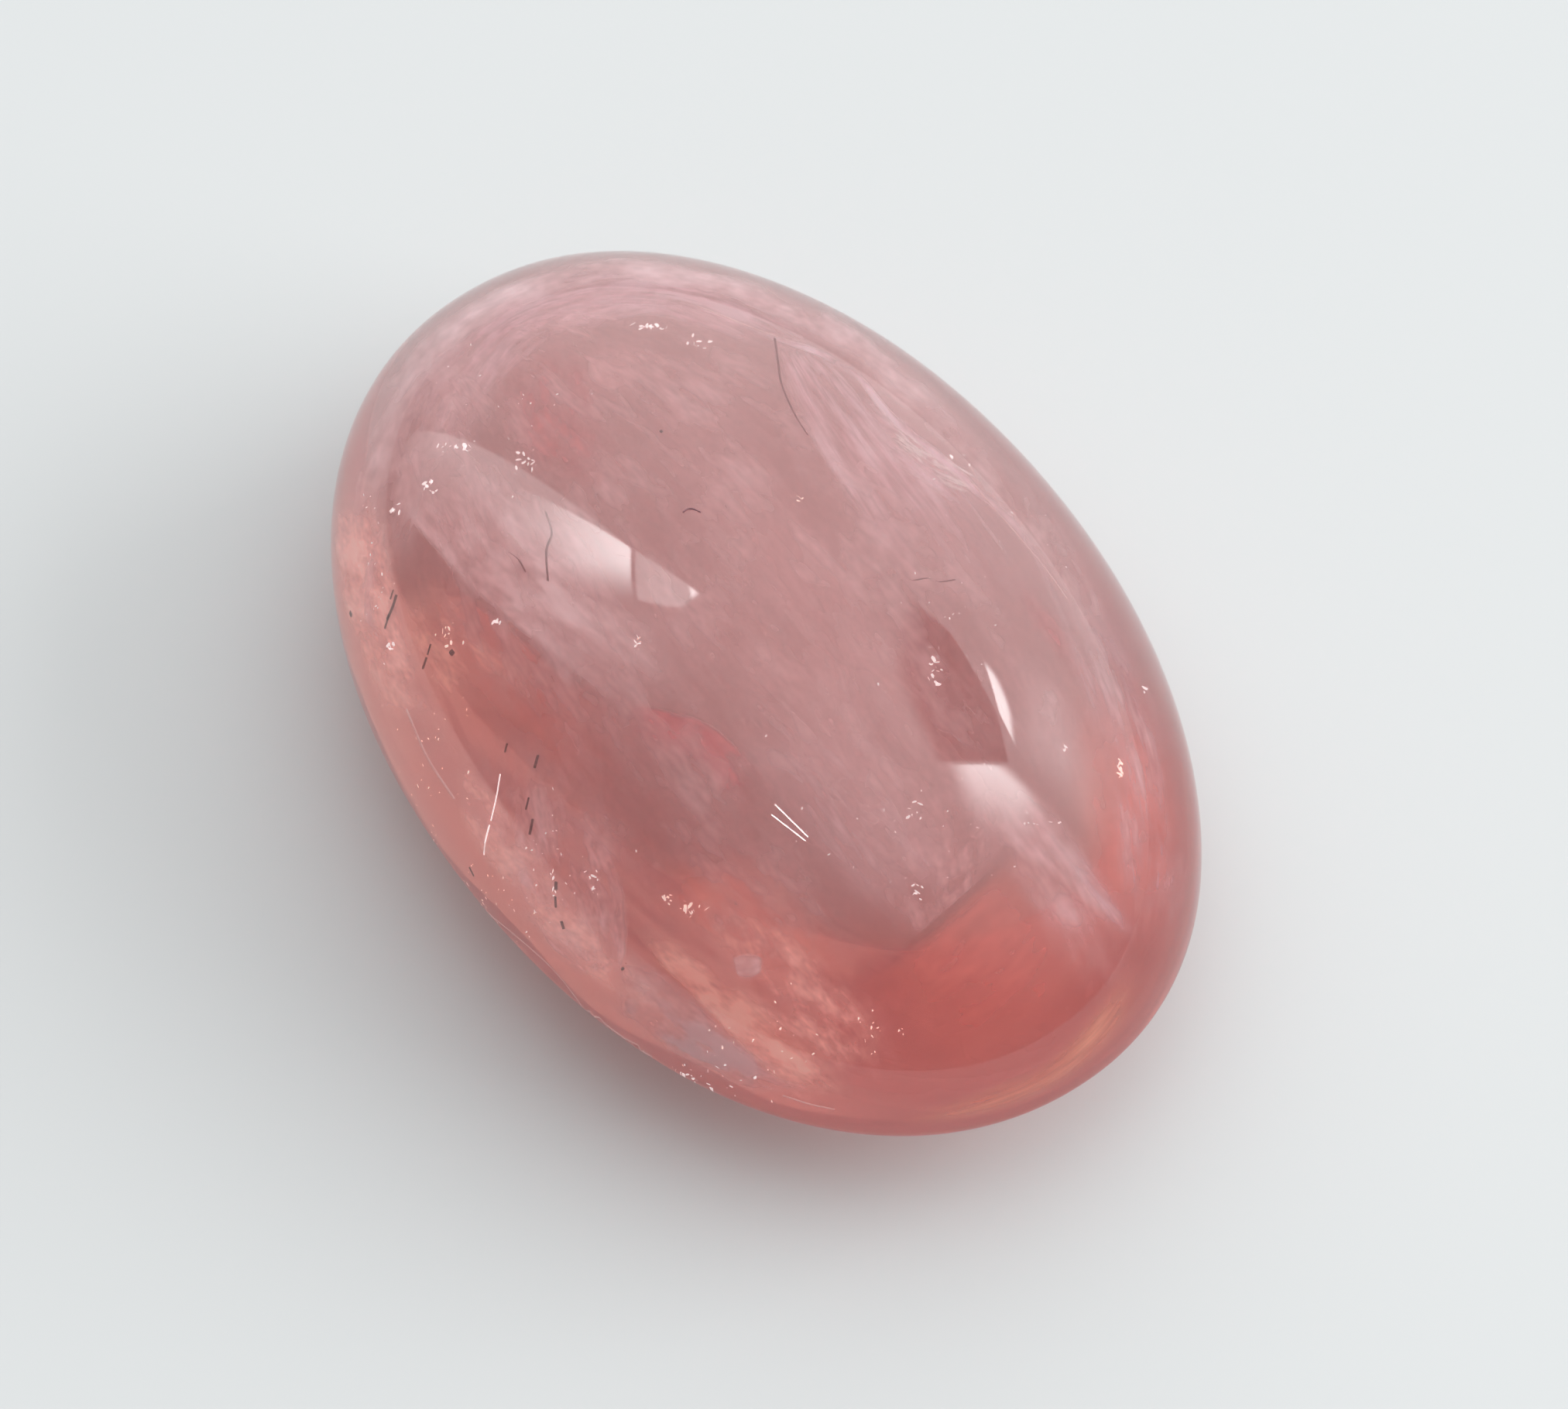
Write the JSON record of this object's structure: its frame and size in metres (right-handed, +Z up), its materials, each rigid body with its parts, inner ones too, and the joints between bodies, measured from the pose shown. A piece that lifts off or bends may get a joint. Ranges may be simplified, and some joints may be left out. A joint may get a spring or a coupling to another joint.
{
  "type": "morganite cabochon",
  "caption": "Polished oval pink beryl cabochon with a high dome, a shallow domed back and a small flat spot to rest on.",
  "frame": {"origin": "under the middle of the stone, on the plane of the flat spot that it rests on", "axes": "+X along the long axis of the oval, +Y across it, +Z up through the dome"},
  "size_m": [0.02, 0.013, 0.007],
  "materials": {
    "stone": "polished, translucent"
  },
  "bodies": {
    "root": {"cabochon": "stone"}
  },
  "joints": []
}
